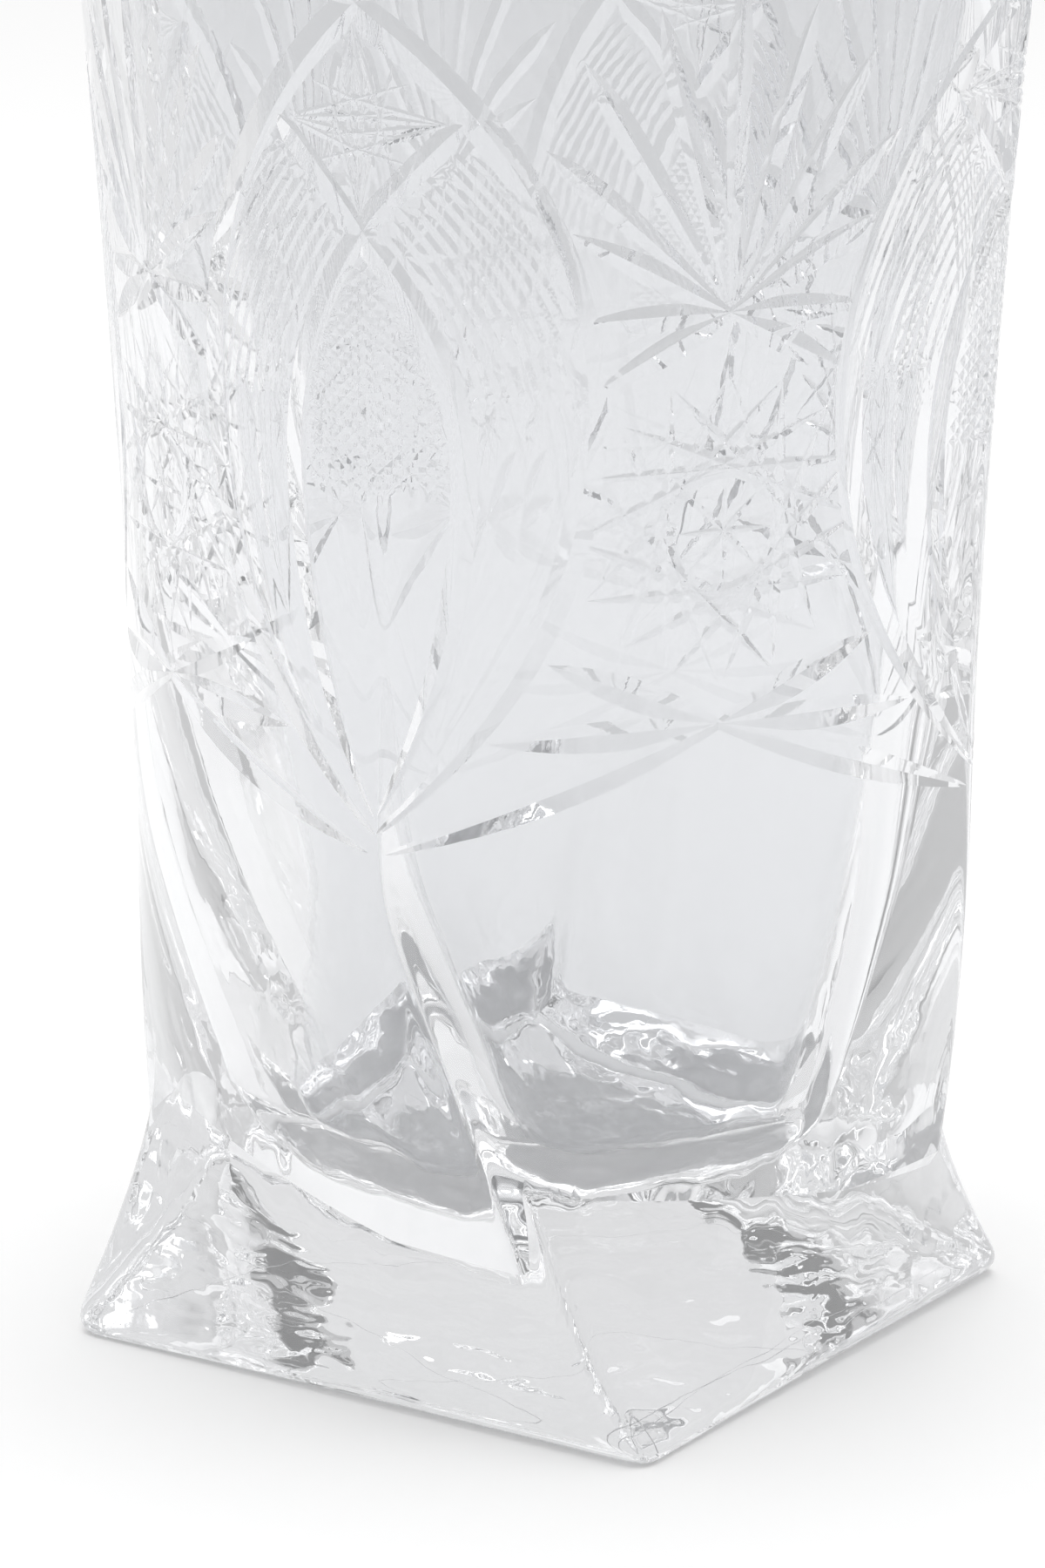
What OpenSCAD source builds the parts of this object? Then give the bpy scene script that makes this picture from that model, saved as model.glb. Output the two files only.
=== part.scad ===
// A square vase of clear cut crystal, in one piece of glass. A heavy square foot with flared corners
// stands on the table. Above it the body has arched sides: it turns clockwise as it rises, runs
// straight from the end of the turn, and opens gently to a plain ground rim. The cavity follows the
// body, with a wall that thickens towards its floor.
// Millimetres, +Z up. The origin is the centre of the flat underside.

/* [Body] */
// Height from the table to the rim
vase_h = 255; // [210:1:305]
// Centre to corner of the body just above the foot
waist_diag = 69; // [66:0.5:72]
// Centre to corner of the body where its turn ends
mid_diag = 76.5; // [74:0.5:79]
// Centre to corner at the rim
rim_diag = 86; // [82:0.5:92]
// Side distance over corner distance just above the foot
waist_arch = 0.785; // [0.76:0.005:0.82]
// Side distance over corner distance of the upper body
upper_arch = 0.884; // [0.84:0.002:0.9]
// Height at which the body leaves the foot
waist_z = 28; // [24:0.5:32]
// Height at which the body's turn ends
turn_z = 94; // [80:1:110]
// Turn of the body's corners at the waist, from the foot's corners
waist_turn = -15; // [-20:0.5:-10]
// Turn of the body's corners above the end of the turn
upper_turn = -32.7; // [-45:0.1:-20]

/* [Foot] */
// Centre to corner of the square foot at the table
foot_diag = 85.5; // [82:0.5:88]
// Centre to corner of the foot where its flare ends
neck_diag = 68.5; // [66:0.5:69]
// Side distance over corner distance at the table
foot_arch = 0.709; // [0.708:0.001:0.72]
// Side distance over corner distance where the flare ends
neck_arch = 0.797; // [0.78:0.001:0.81]
// Height at which the foot's flare ends, inside the body
foot_top = 40; // [36:0.5:44]
// Turn of the foot's corners for each millimetre of height, in degrees
foot_turn_rate = -0.353; // [-0.5:0.001:-0.2]
// Rounding of the foot's corners at the table
foot_soft = 2.2; // [1:0.1:4]
// Rounding between the foot's sides and the underside
foot_edge = 5; // [3:0.5:7]

/* [Cavity] */
// Height of the cavity's floor
floor_z = 32; // [26:0.5:40]
// Wall at the corners, at the rim
rim_wall = 9; // [7:0.5:11]
// How much thicker the corner wall is at the floor
extra_wall = 23; // [14:0.5:24]
// Height above which the wall is even
even_z = 190; // [160:1:200]
// Height of the rounding between the cavity's floor and its sides
floor_round = 14; // [8:0.5:16]
// Width of that rounding
floor_round_w = 17; // [8:0.5:18]
// Bevel on both edges of the rim
rim_bevel = 1; // [0.5:0.1:2]

/* [Hidden] */
// Points around each ring, a multiple of 8 so that every corner has one
around = 72;
// How far the body's corners draw in for each millimetre below the waist, where the foot takes over
tongue_slope = 1;
// Softness of the vertical corners, outside and inside
outer_soft = 0.5;
inner_soft = 4;
// Power of the upper body's widening
flare_power = 1.6;
// How softly the turn comes to its end, as a share of its height
turn_ease = 0.07;
// Power of the foot's flare and of the wall's thickening, both steepest low down
low_power = 1.5;
// Steps of the foot's edge and of the floor's rounding
round_steps = 5;

function mix(a, b, t) = a + (b - a) * t;
function ramp(z, z0, z1) = min(max((z - z0) / (z1 - z0), 0), 1);
// Rises from 0 at the waist and eases off to 1 above the end of the turn
function rise(z) =
    let (t = (max(z, waist_z) - waist_z) / (turn_z - waist_z))
    1 - turn_ease * ln(1 + exp((1 - t) / turn_ease));

// Radius of one arched side, at an angle from the middle of that side
function side_r(angle, diag, face) =
    let (
        half = diag / sqrt(2),
        bulge = face - half,
        arc = (half * half + bulge * bulge) / (2 * bulge),
        back = arc - face
    )
    sqrt(arc * arc - pow(back * sin(angle), 2)) - back * cos(angle);

// Radius of a square with four arched sides and softened corners, at an angle from one corner
function square_r(angle, diag, face, soft) =
    let (
        turn = angle - 90 * floor(angle / 90),
        near = side_r(turn - 45, diag, face),
        next = side_r(turn < 45 ? turn + 45 : turn - 135, diag, face),
        low = min(near, next)
    )
    low - soft * ln(1 + exp(-abs(near - next) / soft));

// The body: corner distance, side distance and turn at a height
function body_diag(z) =
    z < waist_z
        ? waist_diag - tongue_slope * (waist_z - z)
        : mix(waist_diag, mid_diag, rise(z))
            + (rim_diag - mid_diag) * pow(ramp(z, turn_z, vase_h), flare_power);
function body_arch(z) = mix(waist_arch, upper_arch, rise(z));
function body_turn(z) = mix(waist_turn, upper_turn, rise(z));
function body_r(angle, z) =
    square_r(angle - 45 - body_turn(z), body_diag(z), body_diag(z) * body_arch(z), outer_soft);

// The foot: a square that flares towards the table, with its corners turned as it rises
function foot_turn(z) = foot_turn_rate * z;
function foot_rest(z) = 1 - ramp(z, 0, foot_top);
function foot_r(angle, z) =
    let (
        flare = pow(foot_rest(z), low_power),
        diag = mix(neck_diag, foot_diag, flare),
        arch = mix(neck_arch, foot_arch, flare)
    )
    square_r(angle - 45 - foot_turn(z), diag, diag * arch, mix(outer_soft, foot_soft, foot_rest(z)));

// How far the rounded lower edge lies inside the foot's side
function edge_inset(z) = z < foot_edge ? foot_edge - sqrt(pow(foot_edge, 2) - pow(foot_edge - z, 2)) : 0;
function outer_r(angle, z) =
    z > foot_top ? body_r(angle, z) : max(body_r(angle, z), foot_r(angle, z) - edge_inset(z));

// The rings' corners follow the foot's corners low down and the body's corners above
function ring_turn(z) = mix(foot_turn(z), body_turn(z), ramp(z, waist_z - 8, waist_z + 8));

// The cavity: the body less the wall, drawn in around its floor
function low_share(z) = pow(1 - ramp(z, floor_z, even_z), low_power);
function cavity_inset(z) =
    floor_round_w * (1 - sqrt(1 - pow(1 - ramp(z, floor_z, floor_z + floor_round), 2)));
function cavity_r(angle, z) =
    let (
        diag = body_diag(z) - rim_wall - extra_wall * low_share(z),
        arch = mix(upper_arch, 0.8, low_share(z))
    )
    square_r(angle - 45 - body_turn(z), diag, diag * arch, inner_soft) - cavity_inset(z);

// Heights of the outer rings, upwards, and of the cavity's rings, downwards
outer_heights = concat(
    [for (i = [0 : round_steps]) foot_edge * (1 - cos(90 * i / round_steps))],
    [for (i = [1 : 4]) mix(foot_edge, waist_z - 8, i / 4)],
    [for (i = [1 : 8]) mix(waist_z - 8, waist_z + 12, i / 8)],
    [for (i = [1 : 9]) mix(waist_z + 12, turn_z, i / 9)],
    [for (i = [1 : 14]) mix(turn_z, vase_h - rim_bevel, i / 14)]
);
cavity_heights = concat(
    [for (i = [0 : 15]) mix(vase_h - rim_bevel, floor_z + floor_round, i / 15)],
    [for (i = [1 : round_steps]) floor_z + floor_round * (1 - sin(90 * i / round_steps))]
);

function angle_at(i, z) = 45 + ring_turn(z) + 360 * i / around;
function ring_point(angle, r, z) = [r * cos(angle), r * sin(angle), z];
function outer_ring(z) =
    [for (i = [0 : around - 1]) let (a = angle_at(i, z)) ring_point(a, outer_r(a, z), z)];
function cavity_ring(z) =
    [for (i = [0 : around - 1]) let (a = angle_at(i, z)) ring_point(a, cavity_r(a, z), z)];
// The rim's flat top lies between two rings drawn in by the bevel
function rim_ring(inner) =
    [for (i = [0 : around - 1])
        let (a = angle_at(i, vase_h))
        ring_point(a, inner ? cavity_r(a, vase_h) + rim_bevel : body_r(a, vase_h) - rim_bevel, vase_h)];

rings = concat(
    [for (z = outer_heights) outer_ring(z)],
    [rim_ring(false), rim_ring(true)],
    [for (z = cavity_heights) cavity_ring(z)]
);

// One closed skin: the underside, the rings joined in order, and the cavity's floor
module vase() {
    last = len(rings) - 1;
    points = [for (ring = rings) each ring];
    underside = [for (i = [0 : around - 1]) i];
    cavity_floor = [for (i = [around - 1 : -1 : 0]) last * around + i];
    skin = [
        for (k = [0 : last - 1], i = [0 : around - 1])
            let (
                a = k * around + i,
                b = k * around + (i + 1) % around,
                c = a + around,
                d = b + around
            )
            each [[a, c, d], [a, d, b]]
    ];
    color("aliceblue", 0.5) polyhedron(points, concat([underside, cavity_floor], skin));
}

vase();
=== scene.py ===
"""A square cut crystal vase in one piece of clear glass, on a pale studio floor.

The glass is built as a person would cut it: a smooth blank (body, foot and cavity), then V-edged and
hollow wheel cuts taken out of its outer wall, the same set on each of the four corners and sides.
The blank and the cutting are worked out in millimetres, and their meshes are made in metres. Materials
and the studio are in metres throughout. Angles are in degrees around the vase's axis.
"""

import math

import bpy
import numpy as np
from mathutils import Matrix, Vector


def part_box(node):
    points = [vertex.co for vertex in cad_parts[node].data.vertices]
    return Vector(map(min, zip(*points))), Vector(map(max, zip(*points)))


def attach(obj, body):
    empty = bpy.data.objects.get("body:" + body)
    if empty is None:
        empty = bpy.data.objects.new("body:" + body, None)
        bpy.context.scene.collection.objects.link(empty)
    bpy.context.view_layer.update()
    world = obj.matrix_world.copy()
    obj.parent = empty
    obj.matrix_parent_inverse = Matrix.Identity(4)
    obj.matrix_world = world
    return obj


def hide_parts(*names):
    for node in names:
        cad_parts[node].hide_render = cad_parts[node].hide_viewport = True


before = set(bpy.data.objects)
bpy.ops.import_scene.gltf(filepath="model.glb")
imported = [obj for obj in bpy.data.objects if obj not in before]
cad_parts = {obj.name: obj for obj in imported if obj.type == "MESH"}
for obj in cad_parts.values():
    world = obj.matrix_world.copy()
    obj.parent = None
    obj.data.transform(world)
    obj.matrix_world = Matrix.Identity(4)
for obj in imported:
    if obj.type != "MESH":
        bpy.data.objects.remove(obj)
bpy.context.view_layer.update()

MM = 0.001

# The blank, as part.scad has it
WAIST_DIAG, MID_DIAG = 69.0, 76.5
WAIST_ARCH, UPPER_ARCH = 0.785, 0.884
WAIST_Z, TURN_Z = 28.0, 94.0
WAIST_TURN, UPPER_TURN = -15.0, -32.7
FOOT_DIAG, NECK_DIAG, FOOT_TOP = 85.5, 68.5, 40.0
FOOT_ARCH, NECK_ARCH, FOOT_TURN_RATE = 0.709, 0.797, -0.353
FOOT_EDGE = 5.0
FLOOR_Z, FLOOR_ROUND_H, FLOOR_ROUND_W = 32.0, 14.0, 17.0
RIM_WALL, EXTRA_WALL, EVEN_Z = 9.0, 23.0, 190.0
LOW_POWER = 1.5
RIM_BEVEL = 1.0
RIM_DIAG = 86.0
VASE_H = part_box("vase")[1].z / MM
OUTER_SOFT, FOOT_SOFT, INNER_SOFT = 0.5, 2.2, 4.0
FLARE_POWER = 1.6
TURN_EASE = 0.07
TONGUE_SLOPE = 1.0
CAVITY_LOW_ARCH = 0.8
CORNERS = 4
# Direction of the foot's first corner at the table
FIRST_CORNER = 45

# How finely the blank is drawn: points around each ring, rings, and the points' crowding to the corners
BODY_AROUND, FOOT_AROUND, CAVITY_AROUND = 264, 240, 192
LOWER_ROWS, UPPER_ROWS, FOOT_ROWS, CAVITY_ROWS = 42, 28, 24, 48
CROWDING = 0.8
# Heights between which the body and the foot are drawn; they overlap, and are then joined
BODY_START, BODY_SPLIT, BODY_UPPER = 22, 120, 124
FOOT_END = 44


def mix(a, b, t):
    return a + (b - a) * t


def ramp(z, low, high):
    return min(max((z - low) / (high - low), 0.0), 1.0)


def rise(z):
    """From 0 at the waist, easing off to 1 above the end of the turn."""
    t = (max(z, WAIST_Z) - WAIST_Z) / (TURN_Z - WAIST_Z)
    return 1 - TURN_EASE * math.log(1 + math.exp((1 - t) / TURN_EASE))


def side_r(angle, diag, face):
    """Radius of one arched side, at angles from the middle of that side."""
    half = diag / math.sqrt(2)
    bulge = face - half
    arc = (half * half + bulge * bulge) / (2 * bulge)
    back = arc - face
    turn = np.radians(angle)
    return np.sqrt(arc * arc - (back * np.sin(turn)) ** 2) - back * np.cos(turn)


def square_r(angle, diag, face, soft):
    """Radius of a square with four arched sides and softened corners, at angles from one corner."""
    turn = np.mod(angle, 90.0)
    near = side_r(turn - 45, diag, face)
    beyond = side_r(np.where(turn < 45, turn + 45, turn - 135), diag, face)
    return np.minimum(near, beyond) - soft * np.log1p(np.exp(-np.abs(near - beyond) / soft))


def body_diag(z):
    if z < WAIST_Z:
        return WAIST_DIAG - TONGUE_SLOPE * (WAIST_Z - z)
    flare = ramp(z, TURN_Z, VASE_H) ** FLARE_POWER
    return mix(WAIST_DIAG, MID_DIAG, rise(z)) + (RIM_DIAG - MID_DIAG) * flare


def body_turn(z):
    return mix(WAIST_TURN, UPPER_TURN, rise(z))


def body_r(angle, z):
    diag = body_diag(z)
    face = diag * mix(WAIST_ARCH, UPPER_ARCH, rise(z))
    return square_r(angle - FIRST_CORNER - body_turn(z), diag, face, OUTER_SOFT)


def foot_turn(z):
    return FOOT_TURN_RATE * z


def foot_r(angle, z):
    rest = 1 - ramp(z, 0, FOOT_TOP)
    flare = rest**LOW_POWER
    diag = mix(NECK_DIAG, FOOT_DIAG, flare)
    face = diag * mix(NECK_ARCH, FOOT_ARCH, flare)
    edge = FOOT_EDGE - math.sqrt(FOOT_EDGE**2 - (FOOT_EDGE - z) ** 2) if z < FOOT_EDGE else 0.0
    return square_r(angle - FIRST_CORNER - foot_turn(z), diag, face, mix(OUTER_SOFT, FOOT_SOFT, rest)) - edge


def cavity_r(angle, z):
    low = (1 - ramp(z, FLOOR_Z, EVEN_Z)) ** LOW_POWER
    diag = body_diag(z) - RIM_WALL - EXTRA_WALL * low
    face = diag * mix(UPPER_ARCH, CAVITY_LOW_ARCH, low)
    share = 1 - ramp(z, FLOOR_Z, FLOOR_Z + FLOOR_ROUND_H)
    inset = FLOOR_ROUND_W * (1 - math.sqrt(1 - share**2))
    return square_r(angle - FIRST_CORNER - body_turn(z), diag, face, INNER_SOFT) - inset


def new_object(name, points, faces):
    mesh = bpy.data.meshes.new(name)
    mesh.from_pydata(points, [], faces)
    mesh.update()
    obj = bpy.data.objects.new(name, mesh)
    bpy.context.scene.collection.objects.link(obj)
    return obj


def corner_steps(around):
    """Angles around a ring from its first corner, closest together at the four corners."""
    share = np.arange(around) * CORNERS / around
    return 90 * (share - CROWDING * np.sin(2 * math.pi * share) / (2 * math.pi))


def ring_solid(name, heights, radius, turn, around):
    """A closed solid through one ring of points at each height; turn(z) says where a ring's corners are."""
    steps = corner_steps(around)
    points = []
    for z in heights:
        angle = FIRST_CORNER + turn(z) + steps
        r = radius(angle, z) * MM
        theta = np.radians(angle)
        points += list(zip(r * np.cos(theta), r * np.sin(theta), np.full(around, z * MM)))
    faces = [tuple(range(around))[::-1], tuple((len(heights) - 1) * around + i for i in range(around))]
    for k in range(len(heights) - 1):
        for i in range(around):
            a = k * around + i
            b = k * around + (i + 1) % around
            faces.append((a, b, b + around, a + around))
    return new_object(name, points, faces)


def spread(low, high, count):
    return list(np.linspace(low, high, count))


def make_blank():
    """The uncut glass as three solids: the body, the foot, and the cavity to be taken out of them."""
    body_heights = spread(BODY_START, BODY_SPLIT, LOWER_ROWS) + spread(BODY_UPPER, VASE_H, UPPER_ROWS)
    body = ring_solid("body", body_heights, body_r, body_turn, BODY_AROUND)
    edge = [FOOT_EDGE * (1 - math.cos(math.radians(a))) for a in range(0, 90, 10)]
    foot_heights = edge + spread(FOOT_EDGE, FOOT_END, FOOT_ROWS)
    foot = ring_solid("foot", foot_heights, foot_r, foot_turn, FOOT_AROUND)
    fillet = [FLOOR_Z + FLOOR_ROUND_H * (1 - math.cos(math.radians(a))) for a in range(0, 90, 6)]
    cavity = ring_solid(
        "cavity",
        fillet + spread(FLOOR_Z + FLOOR_ROUND_H, VASE_H - RIM_BEVEL, CAVITY_ROWS) + [VASE_H + 1],
        lambda angle, z: cavity_r(angle, min(z, VASE_H)) + max(z - VASE_H + RIM_BEVEL, 0.0),
        body_turn,
        CAVITY_AROUND,
    )
    return body, foot, cavity


# The cutting. A place on the upper body is (side, z): side is the angle from a corner, z the height.
FACE = 45.0
MM_PER_DEGREE = 1.25
# How far to each side, in degrees, and up and down the skin's slope is taken
SIDE_STEP, Z_STEP = 0.2, 0.3


def skin_point(side, z):
    """The point on the uncut body, in millimetres, at an angle from the first corner."""
    angle = FIRST_CORNER + UPPER_TURN + side
    r = float(body_r(np.array(angle), z))
    theta = math.radians(angle)
    return Vector((r * math.cos(theta), r * math.sin(theta), z))


def skin_normal(side, z):
    along = skin_point(side + SIDE_STEP, z) - skin_point(side - SIDE_STEP, z)
    up = skin_point(side, z + Z_STEP) - skin_point(side, z - Z_STEP)
    return along.cross(up).normalized()


# A wheel's section: places across it, in half widths, and its height there as a share of its depth
V_WHEEL = [(-1.0, 1.0), (0.0, 0.0), (1.0, 1.0)]
HOLLOW_WHEEL = [(-1.0, 1.0), (-0.75, 0.5625), (-0.5, 0.25), (-0.25, 0.0625), (0.0, 0.0),
                (0.25, 0.0625), (0.5, 0.25), (0.75, 0.5625), (1.0, 1.0)]
# How far past the skin a wheel's section is carried before a cutter's sides go straight out
CLEARANCE = 0.12
# How far above the skin a cut passes where it runs out, and a patch of fine relief along its edge
RUN_OUT, PATCH_EDGE = 0.02, 0.05
STROKE_POINTS, ARC_POINTS = 11, 36
# Width and depth of each kind of cut
OUTER_CUT, INNER_CUT, FLUTE_CUT = (5.6, 1.2), (4.4, 1.1), (8.2, 0.45)
RAY_CUT, FAN_LEG_CUT, LOW_LEG_CUT = (4.4, 1.0), (4.6, 1.1), (5.2, 1.0)
CHORD_CUT, FINE_CUT = (2.8, 0.65), (1.4, 0.35)
# A leaf's share of its depth at its start, and where along it the cut is deepest
RAY_SHAPE, FAN_LEG_SHAPE, FINE_SHAPE = (0.12, 0.72), (0.25, 0.45), (0.5, 0.6)
LEAF_FALL = 0.8
# The heights over which an arc's cut deepens, from its low and its high end, and how steeply
OUTER_RUNS, INNER_RUNS, ARC_RISE = (30, 8), (34, 3), 0.6


def wheel_cut(path, depths, width, wheel=V_WHEEL):
    """A cut along a path of (side, z) places, with its depth below the skin at each place.

    width is the cut's width where it is deepest. A shallower stretch is narrower, as a wheel leaves it.
    """
    return {"path": path, "depths": depths, "rate": 0.5 * width / max(depths), "wheel": wheel}


def cutter_mesh(cut, lift):
    """The closed cutter of a cut: the wheel's section just past the skin, then straight out to lift."""
    path, wheel = cut["path"], cut["wheel"]
    points, count = [], len(path)
    for i, (side, z) in enumerate(path):
        here = skin_point(side, z)
        ahead = skin_point(*path[min(i + 1, count - 1)])
        behind = skin_point(*path[max(i - 1, 0)])
        normal = skin_normal(side, z)
        across = normal.cross(ahead - behind).normalized()
        depth = cut["depths"][i]
        total = depth + CLEARANCE
        reach = total * cut["rate"]
        section = [(x * reach, h * total - depth) for x, h in wheel]
        section = [(-reach, lift)] + section + [(reach, lift)]
        points += [(here + normal * up + across * x) * MM for x, up in section]
    n = len(wheel) + 2
    faces = [tuple(range(n))[::-1], tuple((count - 1) * n + k for k in range(n))]
    for i in range(count - 1):
        for k in range(n):
            a = i * n + k
            b = i * n + (k + 1) % n
            faces.append((a, b, b + n, a + n))
    return points, faces


def relief_mesh(cells, place, depth, lift):
    """A closed cutter over a patch of cells, whose corners lie at their depths below the skin.

    The corners on the patch's edge stay above the skin, so the pattern runs out there.
    """
    edges = dict.fromkeys((a, b) for cell in cells for a, b in zip(cell, cell[1:] + cell[:1]))
    border = [edge for edge in edges if (edge[1], edge[0]) not in edges]
    rim = {corner for edge in border for corner in edge}
    corners = sorted({corner for cell in cells for corner in cell})
    index = {corner: i for i, corner in enumerate(corners)}
    low, high = [], []
    for corner in corners:
        side, z = place(*corner)
        here, normal = skin_point(side, z), skin_normal(side, z)
        down = -PATCH_EDGE if corner in rim else depth(corner)
        low.append((here - normal * down) * MM)
        high.append((here + normal * lift) * MM)
    count = len(corners)
    faces = [tuple(index[c] for c in cell)[::-1] for cell in cells]
    faces += [tuple(index[c] + count for c in cell) for cell in cells]
    faces += [(index[a], index[b], index[b] + count, index[a] + count) for a, b in border]
    return low + high, faces


def straight(start, end, count):
    return [tuple(mix(np.array(start), np.array(end), t)) for t in np.linspace(0, 1, count)]


def leaf(start, end, width, depth, root, widest):
    """A pointed cut: it starts at a share of its depth, is deepest at widest and runs out at its end."""
    shares = []
    for t in np.linspace(0, 1, STROKE_POINTS):
        if t < widest:
            shares.append(mix(root, 1.0, math.sin(0.5 * math.pi * t / widest)))
        else:
            shares.append(max(math.cos(0.5 * math.pi * (t - widest) / (1 - widest)), 0.0) ** LEAF_FALL)
    path = straight(start, end, STROKE_POINTS)
    return wheel_cut(path, [depth * s - RUN_OUT for s in shares], width)


def spindle(start, end, width, depth):
    """A cut that runs out at both ends, as a wheel leaves on a flat."""
    depths = [depth * (1 - (2 * t - 1) ** 2) - RUN_OUT for t in np.linspace(0, 1, STROKE_POINTS)]
    return wheel_cut(straight(start, end, STROKE_POINTS), depths, width)


def polar(centre, radius, turn):
    """The place a number of millimetres from centre, turn degrees clockwise from straight up."""
    side = centre[0] + radius * math.sin(math.radians(turn)) / MM_PER_DEGREE
    return side, centre[1] + radius * math.cos(math.radians(turn))


# The pointed oval on each corner: heights, and half widths in degrees
OVAL_TOP, OVAL_LOW, OVAL_HALF, OVAL_POWER = 238.5, 104.5, 26.5, 2.1
CROSS_Z, INNER_MID, INNER_LOW, INNER_TOP, INNER_HALF = 202.5, 163.0, 107.0, 220.5, 11.0
# How far the outer arcs' cuts run on past the top of the oval
OVERRUN = 7
# The lined band: its lines, their spacing in millimetres, its heights, and the points along a line
BAND_LINES, BAND_PITCH, BAND_LOW, BAND_HIGH, BAND_ROWS = 11, 2.4, 173.0, 224.0, 24
BAND_DEPTH, BAND_RIDGE, BAND_LIFT = 0.28, 0.02, 2.6
# Degrees that the lined band and the crosshatch keep clear of the arcs
BAND_MARGIN, HATCH_MARGIN = 0.5, 0.4
# The flutes: heights, the heights from which their depth is counted, and where they lie across the band
FLUTE_LOW, FLUTE_HIGH, FLUTE_START, FLUTE_END = 122, 176, 120, 178
FLUTE_SHARES = (0.27, 0.73)
# Degrees that the flutes keep from each arc, and the heights over which they deepen, and their points
FLUTE_INNER, FLUTE_OUTER, FLUTE_RISE, FLUTE_FALL, FLUTE_POINTS = 2.0, 2.4, 20, 8, 16
# The crosshatch: heights, the size of a diamond, its depth, its raised points and its cutter's top
HATCH_LOW, HATCH_HIGH, HATCH_PITCH, HATCH_REACH = 158.0, 201.0, 1.7, 16
HATCH_DEPTH, HATCH_POINT, HATCH_LIFT = 0.18, 0.03, 2.8
# The web of fine mitres at the oval's top: four points, and how its mitres spread from them
WEB_LEFT, WEB_RIGHT, WEB_TOP, WEB_LOW = (-9.5, 219.5), (9.5, 219.5), (0.0, 236.0), (0.0, 204.5)
WEB_DROPS, WEB_LEANS = (-6.5, -2.2, 2.2, 6.5), (-4.2, -1.4, 1.4, 4.2)
WEB_ACROSS, WEB_UP = 15.5, 25


def outer_arc(hand, z):
    middle = (OVAL_TOP + OVAL_LOW) / 2
    share = (z - middle) / (OVAL_TOP - middle)
    return hand * OVAL_HALF * (1 - abs(share) ** OVAL_POWER)


def inner_arc(hand, z):
    reach = CROSS_Z - INNER_MID if z > INNER_MID else INNER_MID - INNER_LOW
    return hand * INNER_HALF * (1 - ((z - INNER_MID) / reach) ** 2)


def arc_cut(curve, hand, low, high, width, depth, low_run, high_run):
    """A cut along one side of an oval, which reaches its depth over low_run and high_run from its ends."""
    path, depths = [], []
    for z in np.linspace(low, high, ARC_POINTS):
        from_low = min(1.0, (z - low) / low_run) ** ARC_RISE
        from_high = min(1.0, (high - z) / high_run) ** ARC_RISE
        path.append((curve(hand, z), z))
        depths.append(depth * (from_low * from_high) - RUN_OUT)
    return wheel_cut(path, depths, width)


def oval_cuts():
    cuts = []
    for hand in (-1, 1):
        cuts.append(arc_cut(outer_arc, hand, OVAL_LOW, OVAL_TOP + OVERRUN, *OUTER_CUT, *OUTER_RUNS))
        cuts.append(arc_cut(inner_arc, hand, INNER_LOW, INNER_TOP, *INNER_CUT, *INNER_RUNS))
        cuts += band_flutes(hand)
    cuts += web()
    return cuts


def band_lines(hand):
    """Fine lines between the oval's two arcs, side by side and parallel to the inner one."""
    step = BAND_PITCH / MM_PER_DEGREE / 2

    def place(k, row):
        z = mix(BAND_LOW, BAND_HIGH, row / BAND_ROWS)
        return inner_arc(hand, z) + hand * step * k, z

    def inside(k, row):
        side, z = place(k, row)
        other = inner_arc(-hand, z) * hand if z > CROSS_Z else -1.0
        return other < side * hand < abs(outer_arc(hand, z)) - BAND_MARGIN

    cells = []
    for k in range(1, 2 * BAND_LINES):
        for row in range(BAND_ROWS):
            corners = [(k, row), (k + 1, row), (k + 1, row + 1), (k, row + 1)]
            if all(inside(*corner) for corner in corners):
                cells.append(corners if hand > 0 else corners[::-1])
    return relief_mesh(cells, place, lambda corner: BAND_DEPTH if corner[0] % 2 else -BAND_RIDGE, BAND_LIFT)


def band_flutes(hand):
    """Two broad hollow flutes below the fine lines."""
    width, depth = FLUTE_CUT
    cuts = []
    for share in FLUTE_SHARES:
        path, depths = [], []
        for z in np.linspace(FLUTE_LOW, FLUTE_HIGH, FLUTE_POINTS):
            inner = abs(inner_arc(hand, z)) + FLUTE_INNER
            outer = abs(outer_arc(hand, z)) - FLUTE_OUTER
            path.append((hand * mix(inner, outer, share), z))
            depths.append(depth * min(1.0, (z - FLUTE_START) / FLUTE_RISE, (FLUTE_END - z) / FLUTE_FALL))
        cuts.append(wheel_cut(path, depths, width, HOLLOW_WHEEL))
    return cuts


def crosshatch():
    """Small diamonds inside the inner oval, as two crossing sets of fine lines leave them."""
    lean = HATCH_PITCH * math.sqrt(0.5)
    middle = (HATCH_LOW + HATCH_HIGH) / 2

    def place(i, j):
        return (i - j) * lean / MM_PER_DEGREE, middle + (i + j) * lean

    def inside(i, j):
        side, z = place(i, j)
        return HATCH_LOW < z < HATCH_HIGH and abs(side) < abs(inner_arc(1, z)) - HATCH_MARGIN

    def depth(corner):
        return HATCH_DEPTH if corner[0] % 1 == 0 else -HATCH_POINT

    cells = []
    for i in range(-HATCH_REACH, HATCH_REACH):
        for j in range(-HATCH_REACH, HATCH_REACH):
            corners = [(i, j), (i + 1, j), (i + 1, j + 1), (i, j + 1)]
            if all(inside(*corner) for corner in corners):
                top = (i + 0.5, j + 0.5)
                cells += [[corners[k], corners[(k + 1) % 4], top] for k in range(4)]
    return relief_mesh(cells, place, depth, HATCH_LIFT)


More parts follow.
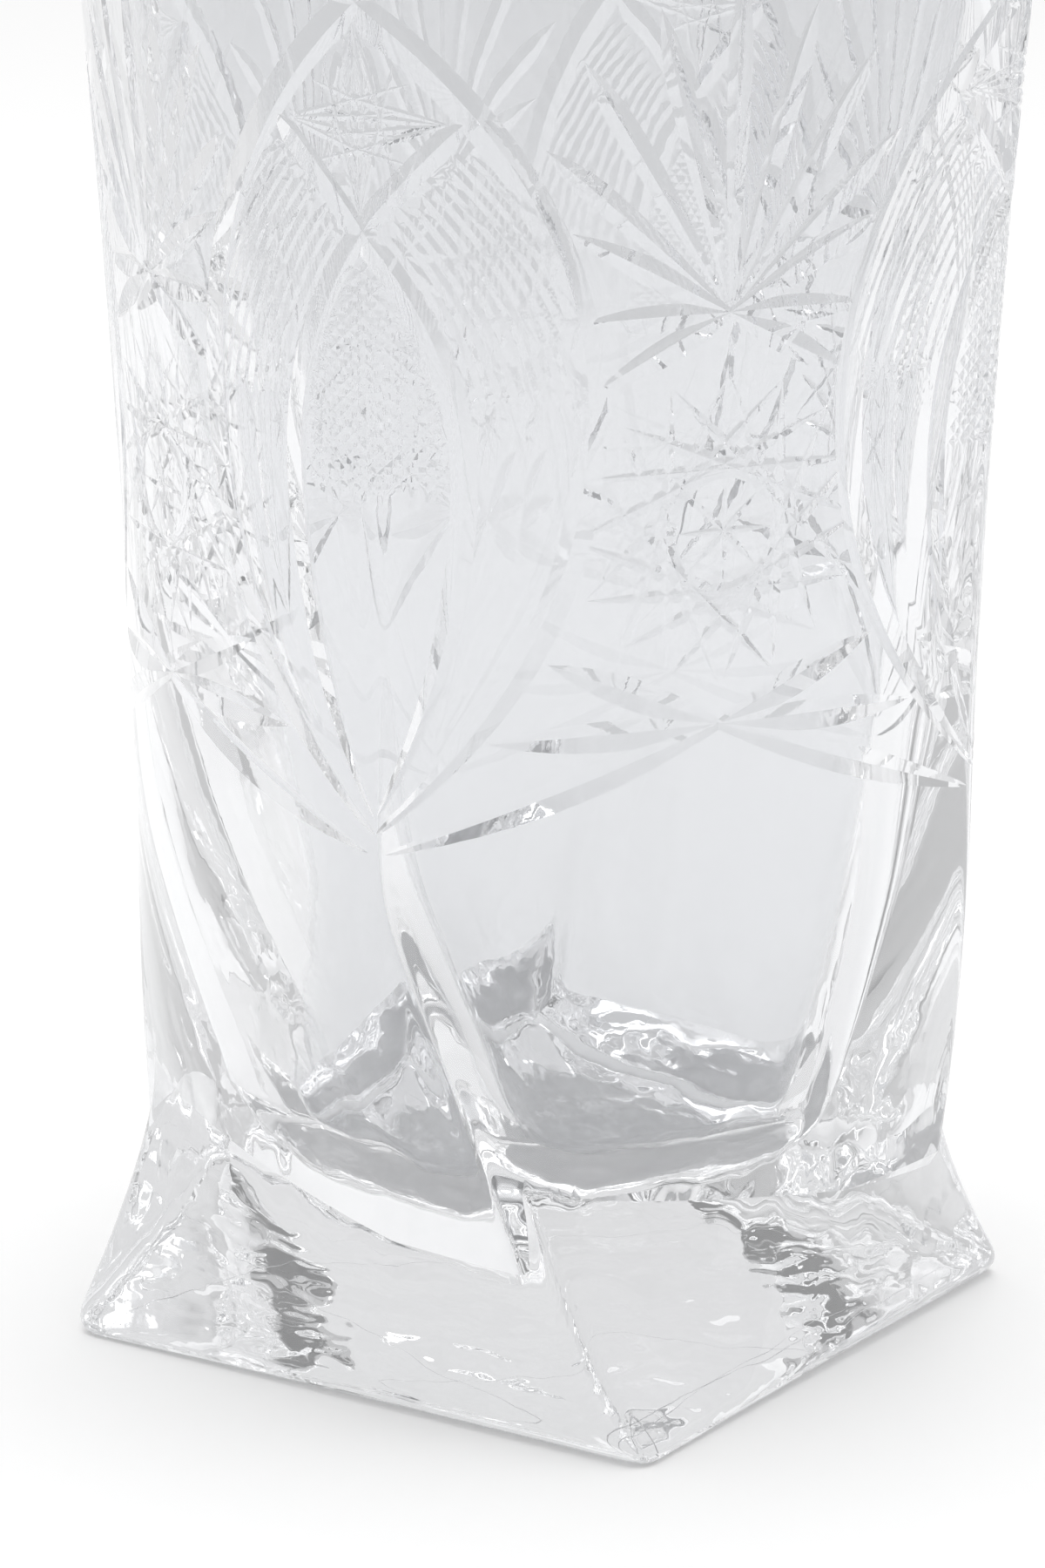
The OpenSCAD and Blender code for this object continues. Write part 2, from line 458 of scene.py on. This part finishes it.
def web():
    """Fine mitres from the four points of the top diamond, crossing as small stars."""
    strokes = []
    for hand, start in ((1, WEB_LEFT), (-1, WEB_RIGHT)):
        strokes += [(start, (start[0] + hand * WEB_ACROSS, start[1] + drop)) for drop in WEB_DROPS]
    for hand, start in ((-1, WEB_TOP), (1, WEB_LOW)):
        strokes += [(start, (start[0] + lean, start[1] + hand * WEB_UP)) for lean in WEB_LEANS]
    return [leaf(start, end, *FINE_CUT, *FINE_SHAPE) for start, end in strokes]


# The stars on each side
FAN_Z, HOB_Z, LOW_Z = 188.0, 152.5, 120.5
# The hobstar: its radius, its points, how many on each is joined to, and its button's lines and margin
HOB_R, HOB_POINTS, HOB_SKIP, BUTTON_LINES, BUTTON_MARGIN = 26.0, 16, 6, 4, 1.0
# The fan star's rays and legs: degrees from straight up, and length; the rays start just off its centre
RAY_START = 2
FAN_RAYS = [(-48, 41), (-31, 48), (-15, 51), (0, 55), (15, 51), (31, 48), (48, 41)]
FAN_LEGS = [(62, 30), (91, 25), (117, 25)]
# The low star's legs on one side: how far they reach in degrees, the height of their ends, and the share
# of their depth at the centre and where along them they are deepest
LOW_LEGS = [(44, 101.2, 0.35, 0.45), (31.5, 119.5, 0.3, 0.5), (24, 132.4, 0.3, 0.5)]


def fan_star():
    centre = (FACE, FAN_Z)
    cuts = []
    for turn, reach in FAN_RAYS:
        cuts.append(leaf(polar(centre, RAY_START, turn), polar(centre, reach, turn), *RAY_CUT, *RAY_SHAPE))
    for turn, reach in FAN_LEGS:
        for hand in (-1, 1):
            cuts.append(leaf(centre, polar(centre, reach, hand * turn), *FAN_LEG_CUT, *FAN_LEG_SHAPE))
    return cuts


def hobstar():
    """Sixteen points, each joined to the sixth one on, around a button with a small star."""
    centre = (FACE, HOB_Z)
    cuts = []
    for k in range(HOB_POINTS):
        start = polar(centre, HOB_R, 360 * k / HOB_POINTS)
        end = polar(centre, HOB_R, 360 * (k + HOB_SKIP) / HOB_POINTS)
        cuts.append(spindle(start, end, *CHORD_CUT))
    button = HOB_R * math.cos(math.pi * HOB_SKIP / HOB_POINTS) - BUTTON_MARGIN
    for k in range(BUTTON_LINES):
        turn = 180 / BUTTON_LINES * k
        cuts.append(spindle(polar(centre, button, turn), polar(centre, button, turn + 180), *FINE_CUT))
    return cuts


def low_star():
    centre = (FACE, LOW_Z)
    cuts = []
    for hand in (-1, 1):
        for reach, end_z, root, widest in LOW_LEGS:
            cuts.append(leaf(centre, (FACE + hand * reach, end_z), *LOW_LEG_CUT, root, widest))
    return cuts


# How far out from the skin the cutters end: the first, and how much further each next one
FIRST_LIFT, LIFT_STEP = 0.4, 0.03


def sector_cutters():
    """The cutters of one corner and side. Where they overlap, their tops are at different heights."""
    cuts = oval_cuts() + fan_star() + hobstar() + low_star()
    meshes = [cutter_mesh(cut, FIRST_LIFT + LIFT_STEP * k) for k, cut in enumerate(cuts)]
    return meshes + [band_lines(-1), band_lines(1), crosshatch()]


def make_cutter(material):
    """One cutter for all the cuts of one corner and the side next to it."""
    group = bpy.data.collections.new("cutters")
    bpy.context.scene.collection.children.link(group)
    pieces = []
    for points, faces in sector_cutters():
        piece = new_object("cutter", points, faces)
        piece.data.materials.append(material)
        pieces.append(piece)
    for piece in pieces[1:]:
        bpy.context.scene.collection.objects.unlink(piece)
        group.objects.link(piece)
    apply_boolean(pieces[0], "UNION", group)
    for piece in pieces[1:]:
        remove(piece)
    bpy.data.collections.remove(group)
    return pieces[0]


def apply_boolean(obj, operation, other):
    step = obj.modifiers.new("cut", "BOOLEAN")
    step.operation = operation
    step.solver = "MANIFOLD"
    if isinstance(other, bpy.types.Collection):
        step.operand_type = "COLLECTION"
        step.collection = other
    else:
        step.object = other
    bpy.context.view_layer.objects.active = obj
    bpy.ops.object.modifier_apply(modifier=step.name)


def remove(obj):
    mesh = obj.data
    bpy.data.objects.remove(obj)
    bpy.data.meshes.remove(mesh)


# The glass. A surface's grain is the scale of its ripple and that ripple's depth in metres.
GLASS_TINT = (0.83, 0.836, 0.848, 1)
CRYSTAL_IOR = 1.55
SKIN_ROUGHNESS, SKIN_GRAIN = 0.0, (90, 0.00003)
CUT_ROUGHNESS, CUT_GRAIN = 0.015, (500, 0.00001)
# The slow waves, and the heights between which they fade out
WAVE_SCALE, WAVE_DEPTH, WAVE_FULL, WAVE_GONE = 55, 0.0014, 0.034, 0.066
# Scratches on the underside: direction across, distance from the axis and half width
SCRATCHES = [(5, 0.041, 0.00022), (12, 0.037, 0.00012), (-48, 0.030, 0.00015), (63, -0.022, 0.00016),
             (101, 0.045, 0.00012), (-20, -0.033, 0.00015)]
# The scale at which the scratches break up, and the heights between which they fade out
BREAK_SCALE, SCRATCH_FULL, SCRATCH_GONE = 70, 0.0002, 0.0006
# Edges sharper than this many degrees stay crisp
SHARP_ANGLE = 12


def math_node(nodes, links, operation, first, second):
    """A math node fed by two sockets or numbers."""
    node = nodes.new("ShaderNodeMath")
    node.operation = operation
    for socket, value in zip(node.inputs, (first, second)):
        if isinstance(value, (int, float)):
            socket.default_value = value
        else:
            links.new(value, socket)
    return node.outputs["Value"]


def noise(nodes, links, place, scale, detail=1.5):
    node = nodes.new("ShaderNodeTexNoise")
    node.inputs["Scale"].default_value = scale
    node.inputs["Detail"].default_value = detail
    links.new(place.outputs["Object"], node.inputs["Vector"])
    return node.outputs["Fac"]


def fade(nodes, links, value, start, end):
    """1 at start, smoothly down to 0 at end."""
    node = nodes.new("ShaderNodeMapRange")
    node.interpolation_type = "SMOOTHSTEP"
    node.inputs["From Min"].default_value = start
    node.inputs["From Max"].default_value = end
    node.inputs["To Min"].default_value = 1.0
    node.inputs["To Max"].default_value = 0.0
    links.new(value, node.inputs["Value"])
    return node.outputs["Result"]


def scratch(nodes, links, place, turn, offset, width):
    """1 along a straight scratch, at a distance from the axis, whose direction is given by turn."""
    lean = nodes.new("ShaderNodeVectorMath")
    lean.operation = "DOT_PRODUCT"
    lean.inputs[1].default_value = (math.cos(math.radians(turn)), math.sin(math.radians(turn)), 0)
    links.new(place.outputs["Object"], lean.inputs[0])
    away = math_node(nodes, links, "SUBTRACT", lean.outputs["Value"], offset)
    return fade(nodes, links, math_node(nodes, links, "ABSOLUTE", away, 0.0), 0.3 * width, width)


def glass_material(name, roughness, grain):
    """Clear crystal: a fine ripple of the polish, slow waves low down, and a scratched underside."""
    material = bpy.data.materials.new(name)
    material.use_nodes = True
    nodes, links = material.node_tree.nodes, material.node_tree.links
    shader = nodes["Principled BSDF"]
    shader.inputs["Base Color"].default_value = GLASS_TINT
    shader.inputs["Transmission Weight"].default_value = 1.0
    shader.inputs["IOR"].default_value = CRYSTAL_IOR
    place = nodes.new("ShaderNodeTexCoord")
    height = nodes.new("ShaderNodeSeparateXYZ")
    links.new(place.outputs["Object"], height.inputs[0])
    low = fade(nodes, links, height.outputs["Z"], WAVE_FULL, WAVE_GONE)
    wave = math_node(nodes, links, "MULTIPLY", noise(nodes, links, place, WAVE_SCALE), WAVE_DEPTH)
    wave = math_node(nodes, links, "MULTIPLY", wave, low)
    scale, depth = grain
    ripple = math_node(nodes, links, "MULTIPLY", noise(nodes, links, place, scale, 3), depth)
    bump = nodes.new("ShaderNodeBump")
    bump.inputs["Strength"].default_value = 1.0
    bump.inputs["Distance"].default_value = 1.0
    links.new(math_node(nodes, links, "ADD", wave, ripple), bump.inputs["Height"])
    links.new(bump.outputs["Normal"], shader.inputs["Normal"])
    marks = 0.0
    for turn, offset, width in SCRATCHES:
        marks = math_node(nodes, links, "ADD", scratch(nodes, links, place, turn, offset, width), marks)
    broken = math_node(nodes, links, "MULTIPLY", marks, noise(nodes, links, place, BREAK_SCALE))
    under = fade(nodes, links, height.outputs["Z"], SCRATCH_FULL, SCRATCH_GONE)
    worn = math_node(nodes, links, "MULTIPLY", broken, under)
    links.new(math_node(nodes, links, "ADD", worn, roughness), shader.inputs["Roughness"])
    return material


def make_vase():
    """The blank, joined and hollowed, with the cutting taken out of it a quarter at a time."""
    skin = glass_material("clear_crystal", SKIN_ROUGHNESS, SKIN_GRAIN)
    cut = glass_material("cut_crystal", CUT_ROUGHNESS, CUT_GRAIN)
    body, foot, cavity = make_blank()
    for piece in (body, foot, cavity):
        piece.data.materials.append(skin)
    apply_boolean(body, "UNION", foot)
    apply_boolean(body, "DIFFERENCE", cavity)
    cutter = make_cutter(cut)
    for quarter in range(CORNERS):
        cutter.rotation_euler.z = math.radians(360 / CORNERS * quarter)
        bpy.context.view_layer.update()
        apply_boolean(body, "DIFFERENCE", cutter)
    for piece in (foot, cavity, cutter):
        remove(piece)
    body.name = "crystal_vase"
    body.data.shade_smooth()
    body.data.set_sharp_from_angle(angle=math.radians(SHARP_ANGLE))
    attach(body, "root")
    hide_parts("vase")


# The studio. The camera: its direction and pan in degrees, its place, and its lens in millimetres
VIEW_AZIMUTH, VIEW_DOWN, VIEW_PAN = 33.0, 15.0, 0.216
CAMERA_OUT, CAMERA_UP, LENS, SENSOR = 0.997, 0.361, 138.0, 36
FAR = 20
# The tent's light in front and behind, the cosines between which it changes, and its way out and up
TENT_FRONT, TENT_BACK = 0.6, 0.88
TENT_CHANGE = (-0.6, 0.35)
TENT_OUT, TENT_BACK_UP, OPENING_UP = 0.95, 0.3, 0.31
# The dimmer opening: half its width and its soft edge in degrees, and its share of the tent's light
OPENING, OPENING_EDGE, OPENING_LIGHT = 11, 6, 0.45
# The lamp above: its height, size and power, and the height of the place that it faces
LAMP_UP, LAMP_SIZE, LAMP_POWER, LAMP_AIM = 1.6, 1.4, 10, 0.1
# The floor: half its size, its brightness and glow, and how far it lies below the underside
FLOOR_REACH, FLOOR_WHITE, FLOOR_GLOW, FLOOR_GAP = 4.0, 0.95, 0.12, 0.0002
# Light crosses the thick glass many times before it leaves
LIGHT_BOUNCES = 48


def make_camera():
    camera = bpy.data.objects.new("camera", bpy.data.cameras.new("camera"))
    camera.data.lens = LENS
    camera.data.sensor_width = SENSOR
    camera.data.clip_end = FAR
    around = math.radians(VIEW_AZIMUTH)
    camera.location = (CAMERA_OUT * math.sin(around), -CAMERA_OUT * math.cos(around), CAMERA_UP)
    heading = math.radians(VIEW_AZIMUTH + VIEW_PAN)
    down = math.radians(VIEW_DOWN)
    aim = Vector((-math.sin(heading) * math.cos(down), math.cos(heading) * math.cos(down), -math.sin(down)))
    camera.rotation_euler = aim.to_track_quat("-Z", "Y").to_euler()
    bpy.context.scene.collection.objects.link(camera)
    bpy.context.scene.camera = camera


def make_floor():
    corners = [(x * FLOOR_REACH, y * FLOOR_REACH, 0) for x, y in ((-1, -1), (1, -1), (1, 1), (-1, 1))]
    floor = new_object("studio_floor", corners, [(0, 1, 2, 3)])
    material = bpy.data.materials.new("studio_floor")
    material.use_nodes = True
    shader = material.node_tree.nodes["Principled BSDF"]
    shader.inputs["Base Color"].default_value = (FLOOR_WHITE, FLOOR_WHITE, FLOOR_WHITE, 1)
    shader.inputs["Roughness"].default_value = 0.9
    shader.inputs["Emission Color"].default_value = (1, 1, 1, 1)
    shader.inputs["Emission Strength"].default_value = FLOOR_GLOW
    floor.data.materials.append(material)
    floor.location.z = -FLOOR_GAP


def toward(nodes, links, place, direction, low, high, at_low, at_high):
    """A soft change of light with the angle from a direction; low and high are that angle's cosines."""
    lean = nodes.new("ShaderNodeVectorMath")
    lean.operation = "DOT_PRODUCT"
    lean.inputs[1].default_value = direction
    shade = nodes.new("ShaderNodeMapRange")
    shade.interpolation_type = "SMOOTHSTEP"
    shade.inputs["From Min"].default_value = low
    shade.inputs["From Max"].default_value = high
    shade.inputs["To Min"].default_value = at_low
    shade.inputs["To Max"].default_value = at_high
    links.new(place.outputs["Generated"], lean.inputs[0])
    links.new(lean.outputs["Value"], shade.inputs["Value"])
    return shade.outputs["Result"]


def make_world():
    """A light tent: brighter behind the vase than in front, with a dimmer opening at the camera's side."""
    world = bpy.data.worlds.new("studio")
    bpy.context.scene.world = world
    world.use_nodes = True
    nodes, links = world.node_tree.nodes, world.node_tree.links
    place = nodes.new("ShaderNodeTexCoord")
    turn = math.radians(VIEW_AZIMUTH)
    back = (-math.sin(turn) * TENT_OUT, math.cos(turn) * TENT_OUT, TENT_BACK_UP)
    front = (math.sin(turn) * TENT_OUT, -math.cos(turn) * TENT_OUT, OPENING_UP)
    tent = toward(nodes, links, place, back, *TENT_CHANGE, TENT_FRONT, TENT_BACK)
    outside = math.cos(math.radians(OPENING + OPENING_EDGE))
    inside = math.cos(math.radians(OPENING))
    opening = toward(nodes, links, place, front, outside, inside, 1.0, OPENING_LIGHT)
    light = math_node(nodes, links, "MULTIPLY", tent, opening)
    links.new(light, nodes["Background"].inputs["Color"])


def make_lamp():
    """A square soft light straight above the vase."""
    data = bpy.data.lights.new("overhead", "AREA")
    data.size = LAMP_SIZE
    data.energy = LAMP_POWER
    lamp = bpy.data.objects.new("overhead", data)
    lamp.location = (0, 0, LAMP_UP)
    way = Vector((0, 0, LAMP_AIM)) - Vector(lamp.location)
    lamp.rotation_euler = way.to_track_quat("-Z", "Y").to_euler()
    bpy.context.scene.collection.objects.link(lamp)


def set_light_paths():
    """Plain display colours, and enough bounces for the thick glass."""
    scene = bpy.context.scene
    scene.view_settings.view_transform = "Standard"
    scene.cycles.max_bounces = LIGHT_BOUNCES
    scene.cycles.transmission_bounces = LIGHT_BOUNCES
    scene.cycles.glossy_bounces = LIGHT_BOUNCES


make_camera()
make_world()
make_lamp()
make_floor()
make_vase()
set_light_paths()
